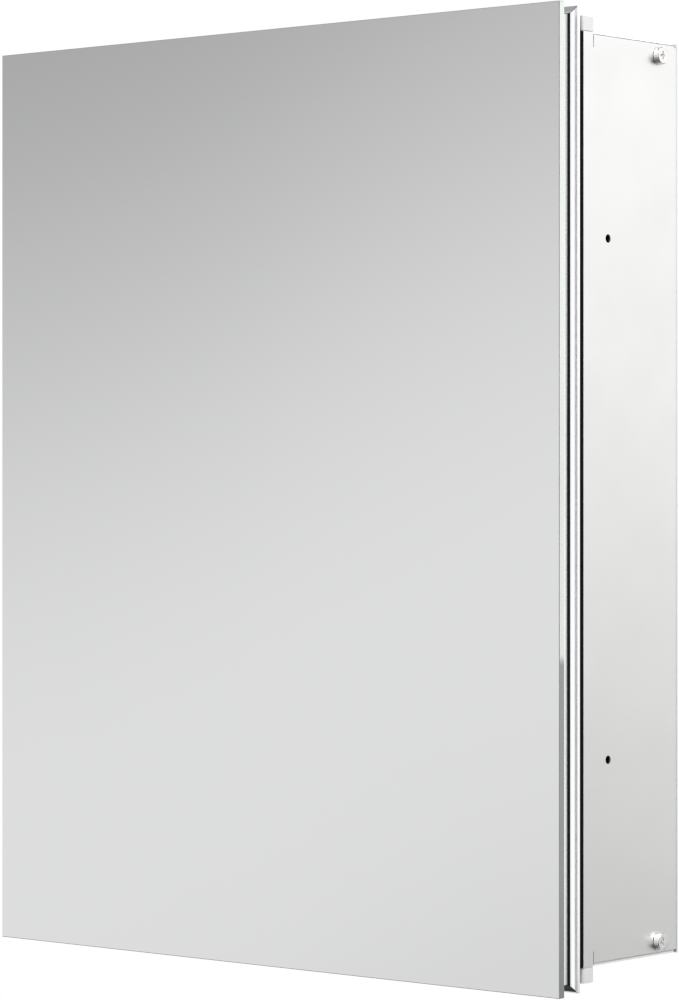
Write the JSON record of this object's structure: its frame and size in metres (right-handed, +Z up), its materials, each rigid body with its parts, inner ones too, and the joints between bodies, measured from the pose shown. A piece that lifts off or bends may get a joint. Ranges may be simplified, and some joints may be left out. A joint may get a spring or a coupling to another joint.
{
  "type": "medicine cabinet",
  "caption": "Recessed bathroom cabinet: a shallow sheet-metal box with glass shelves behind a frameless mirror door on a continuous side hinge, with a finger-pull groove and trim flanges.",
  "frame": {"origin": "centre of the back panel's rear face, which lies against the wall", "axes": "+X to the right seen from the front, +Y into the wall, +Z up; the mirror faces -Y"},
  "size_m": [0.5254, 0.138, 0.66],
  "materials": {
    "body_metal": "satin, pale",
    "polished_frame": "bright polished extrusion",
    "mirror": "silvered float glass with a seamed polished edge",
    "shelf_glass": "clear, polished edges",
    "hinge_steel": "satin",
    "stud_chrome": "bright",
    "seal_rubber": "matt black",
    "white_plastic": "fine matt",
    "magnet": "dark sintered",
    "foam_tape": "soft matt foam"
  },
  "bodies": {
    "cabinet": {"back_mirror": "mirror", "back_panel": "body_metal", "bottom_panel": "body_metal", "catch_housing": "white_plastic", "catch_magnet": "magnet", "catch_rivet": "hinge_steel", "flange_rail_bottom": "body_metal", "flange_rail_top": "body_metal", "glass_shelf_lower": "shelf_glass", "glass_shelf_upper": "shelf_glass", "hanging_stud_left_lower": "stud_chrome", "hanging_stud_left_upper": "stud_chrome", "hanging_stud_right_lower": "stud_chrome", "hanging_stud_right_upper": "stud_chrome", "hinge_leaf_body": "hinge_steel", "hinge_pin": "hinge_steel", "hinge_rivet_body_lower": "hinge_steel", "hinge_rivet_body_middle": "hinge_steel", "hinge_rivet_body_upper": "hinge_steel", "seal_strip_bottom": "seal_rubber", "seal_strip_right": "seal_rubber", "seal_strip_top": "seal_rubber", "shelf_clip_lower_left_front": "hinge_steel", "shelf_clip_lower_left_rear": "hinge_steel", "shelf_clip_lower_right_front": "hinge_steel", "shelf_clip_lower_right_rear": "hinge_steel", "shelf_clip_upper_left_front": "hinge_steel", "shelf_clip_upper_left_rear": "hinge_steel", "shelf_clip_upper_right_front": "hinge_steel", "shelf_clip_upper_right_rear": "hinge_steel", "shelf_track_left_front": "polished_frame", "shelf_track_left_rear": "polished_frame", "shelf_track_right_front": "polished_frame", "shelf_track_right_rear": "polished_frame", "side_panel_left": "body_metal", "side_panel_right": "body_metal", "stud_nut_left_lower": "stud_chrome", "stud_nut_left_upper": "stud_chrome", "stud_nut_right_lower": "stud_chrome", "stud_nut_right_upper": "stud_chrome", "top_panel": "body_metal"},
    "door": {"corner_key_bottom_left": "white_plastic", "corner_key_bottom_right": "white_plastic", "corner_key_top_left": "white_plastic", "corner_key_top_right": "white_plastic", "door_back_panel": "body_metal", "door_frame_bottom": "polished_frame", "door_frame_left": "polished_frame", "door_frame_right": "polished_frame", "door_frame_top": "polished_frame", "hinge_leaf_door": "hinge_steel", "hinge_rivet_door_lower": "hinge_steel", "hinge_rivet_door_middle": "hinge_steel", "hinge_rivet_door_upper": "hinge_steel", "mirror_glass": "mirror", "mirror_tape_left": "foam_tape", "mirror_tape_right": "foam_tape", "strike_plate": "hinge_steel", "strike_rivet_lower": "hinge_steel", "strike_rivet_upper": "hinge_steel"}
  },
  "joints": [
    {"name": "door_swing", "type": "hinge", "parent": "cabinet", "child": "door", "pos_m": [-0.2574, -0.1113, 0], "axis": [0, 0, -1], "range_deg": [0, 110]}
  ]
}
